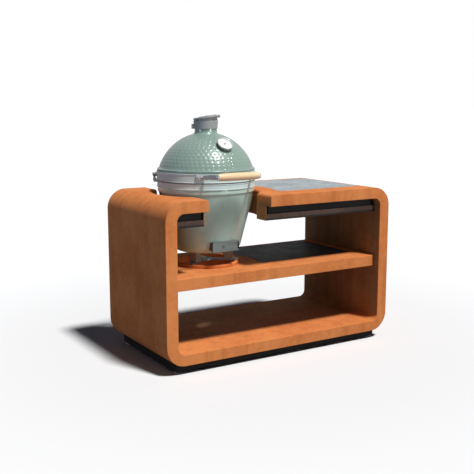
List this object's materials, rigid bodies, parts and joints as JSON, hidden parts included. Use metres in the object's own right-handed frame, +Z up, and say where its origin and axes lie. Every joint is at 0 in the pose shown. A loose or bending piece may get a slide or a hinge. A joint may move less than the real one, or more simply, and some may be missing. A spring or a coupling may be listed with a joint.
{
  "type": "kamado grill table",
  "caption": "Outdoor kitchen table of rusted weathering steel with a ceramic kamado grill standing in a round grill place, a dark worktop and a shelf.",
  "frame": {"origin": "on the floor below the middle of the table", "axes": "+X along the table to the right seen from the front, +Y to the rear, +Z up"},
  "size_m": [1.5, 0.75, 1.358],
  "materials": {
    "rust": "weathering steel, even orange rust",
    "brown_steel": "dark brown mill scale",
    "black_steel": "satin black paint",
    "stone": "polished dark stone",
    "zinc": "zinc plated",
    "firebrick": "unglazed refractory ceramic",
    "glaze": "dimpled grey-green glaze",
    "felt": "heat-proof felt",
    "band_steel": "grey powder coat",
    "steel": "satin",
    "cast_iron": "grey painted casting",
    "wood": "clear lacquer",
    "dial": "white enamel",
    "needle": "black paint",
    "glass": "clear"
  },
  "bodies": {
    "table": {"steel_casing": "rust", "worktop_inlay": "stone", "apron_web_right": "black_steel", "apron_band_right": "brown_steel", "apron_web_left": "black_steel", "apron_band_left": "brown_steel", "shelf_casing": "rust", "shelf_inlay": "stone", "shelf_rail_left": "black_steel", "shelf_rail_right": "black_steel", "plinth_frame": "black_steel", "levelling_foot_front_left": "zinc", "levelling_foot_front_right": "zinc", "levelling_foot_rear_left": "zinc", "levelling_foot_rear_right": "zinc", "shelf_ring": "rust", "stand_spider": "zinc", "stand_block_rear": "firebrick", "stand_block_left": "firebrick", "stand_block_right": "firebrick", "kamado_bowl": "glaze", "lower_band": "band_steel", "lower_gasket": "felt", "lower_hinge_bracket": "band_steel", "lower_hinge_bolt_left": "steel", "lower_hinge_bolt_right": "steel", "hinge_pin": "steel", "hinge_spring_left": "steel", "hinge_spring_right": "steel", "fire_box": "firebrick", "fire_grate": "cast_iron", "fire_ring": "firebrick", "cooking_grid": "steel", "draft_frame": "steel"},
    "lid": {"kamado_dome": "glaze", "upper_band": "band_steel", "upper_gasket": "felt", "upper_hinge_bracket": "band_steel", "upper_hinge_bolt_left": "steel", "upper_hinge_bolt_right": "steel", "handle_bar": "wood", "handle_rod": "steel", "handle_arm_left": "band_steel", "handle_arm_right": "band_steel", "handle_bolt_left": "steel", "handle_bolt_right": "steel", "cap_body": "cast_iron", "cap_clamp_bolt": "steel", "disc_pivot": "steel", "thermometer_case": "steel", "thermometer_dial": "dial", "thermometer_glass": "glass", "thermometer_nut": "steel"},
    "vent": {"vent_disc": "cast_iron", "wheel_pivot": "steel"},
    "daisy_wheel": {"daisy_wheel": "cast_iron"},
    "needle": {"thermometer_needle": "needle"},
    "draft_door": {"draft_door": "steel"},
    "draft_screen": {"draft_screen": "steel"}
  },
  "joints": [
    {"name": "lid_hinge", "type": "hinge", "parent": "table", "child": "lid", "pos_m": [-0.3, 0.34, 1.00455], "axis": [-1, 0, 0], "range_deg": [0, 75]},
    {"name": "vent_swing", "type": "hinge", "parent": "lid", "child": "vent", "pos_m": [-0.34714, 0.02909, 1.32836], "axis": [-0.1244, 0.0768, 0.9893], "range_deg": [0, 100]},
    {"name": "wheel_turn", "type": "hinge", "parent": "vent", "child": "daisy_wheel", "pos_m": [-0.29529, -0.00291, 1.33737], "axis": [-0.1244, 0.0768, 0.9893], "range_deg": [0, 36]},
    {"name": "needle_turn", "type": "hinge", "parent": "lid", "child": "needle", "pos_m": [-0.28907, -0.18286, 1.19099], "axis": [-0.0392, 0.6554, -0.7543], "range_deg": [0, 250]},
    {"name": "draft_door_slide", "type": "slide", "parent": "table", "child": "draft_door", "axis": [1, 0, 0], "range_m": [0, 0.066]},
    {"name": "draft_screen_slide", "type": "slide", "parent": "table", "child": "draft_screen", "axis": [1, 0, 0], "range_m": [0, 0.066]}
  ]
}
